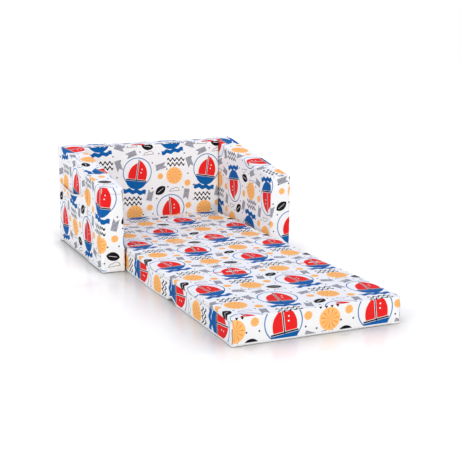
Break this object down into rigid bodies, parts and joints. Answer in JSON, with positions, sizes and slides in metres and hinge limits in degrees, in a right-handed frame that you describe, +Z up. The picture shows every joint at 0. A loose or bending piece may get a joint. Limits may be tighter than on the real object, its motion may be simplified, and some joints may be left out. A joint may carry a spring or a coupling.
{
  "type": "kids flip open sofa",
  "caption": "Low foam sofa for children, laid open: printed cloth over a back, two sloping arms with a side pocket, and a seat whose panels unfold into a floor mattress.",
  "frame": {"origin": "on the floor under the fixed seat panel, on the sofa's middle line, half a panel's length behind the seat panel's front end", "axes": "+Z up, +Y towards the back rest, +X to the right of someone who stands in front and faces the sofa"},
  "size_m": [0.8033, 1.5529, 0.404],
  "materials": {
    "printed_cloth": "matt white woven polyester with a small scattered print in red, blue, orange, grey and black",
    "foam": "open-cell polyurethane foam, hidden inside the covers",
    "base_cloth": "plain pale nonwoven cloth underneath",
    "binding": "plain white woven tape",
    "zip_tape": "white closed nylon coil zip",
    "zip_metal": "pale grey painted zip slider and pull"
  },
  "bodies": {
    "sofa_base": {"left_arm_foam": "foam", "left_arm_cover": "printed_cloth", "left_arm_base_cloth": "base_cloth", "right_arm_foam": "foam", "right_arm_cover": "printed_cloth", "right_arm_base_cloth": "base_cloth", "back_foam": "foam", "back_cover": "printed_cloth", "back_base_cloth": "base_cloth", "back_zip_tape": "zip_tape", "seat_panel_foam": "foam", "seat_panel_cover": "printed_cloth", "seat_panel_base_cloth": "base_cloth", "side_pocket": "printed_cloth", "side_pocket_hem": "binding", "upper_hinge_tape": "binding"},
    "middle_panel": {"middle_panel_foam": "foam", "middle_panel_cover": "printed_cloth", "middle_panel_base_cloth": "base_cloth", "middle_panel_zip_tape": "zip_tape", "lower_hinge_leaf_middle_panel": "binding"},
    "front_panel": {"front_panel_foam": "foam", "front_panel_cover": "printed_cloth", "front_panel_base_cloth": "base_cloth", "front_panel_zip_tape": "zip_tape", "lower_hinge_leaf_front_panel": "binding"},
    "back_zip_slider": {"back_zip_slider": "zip_metal"},
    "middle_panel_zip_slider": {"middle_panel_zip_slider": "zip_metal"},
    "front_panel_zip_slider": {"front_panel_zip_slider": "zip_metal"}
  },
  "joints": [
    {"name": "middle_panel_fold", "type": "hinge", "parent": "sofa_base", "child": "middle_panel", "pos_m": [0, -0.2428, 0.0908], "axis": [-1, 0, 0], "range_deg": [0, 180]},
    {"name": "front_panel_fold", "type": "hinge", "parent": "middle_panel", "child": "front_panel", "pos_m": [0, -0.7284, -0.0008], "axis": [-1, 0, 0], "range_deg": [-180, 0]},
    {"name": "back_zip_slide", "type": "slide", "parent": "sofa_base", "child": "back_zip_slider", "axis": [1, 0, 0], "range_m": [0, 0.421]},
    {"name": "middle_panel_zip_slide", "type": "slide", "parent": "middle_panel", "child": "middle_panel_zip_slider", "axis": [0, 1, 0], "range_m": [0, 0.341]},
    {"name": "front_panel_zip_slide", "type": "slide", "parent": "front_panel", "child": "front_panel_zip_slider", "axis": [0, 1, 0], "range_m": [0, 0.341]}
  ],
  "couplings": [
    {"joint": "front_panel_fold", "follows": "middle_panel_fold", "ratio": -1}
  ]
}
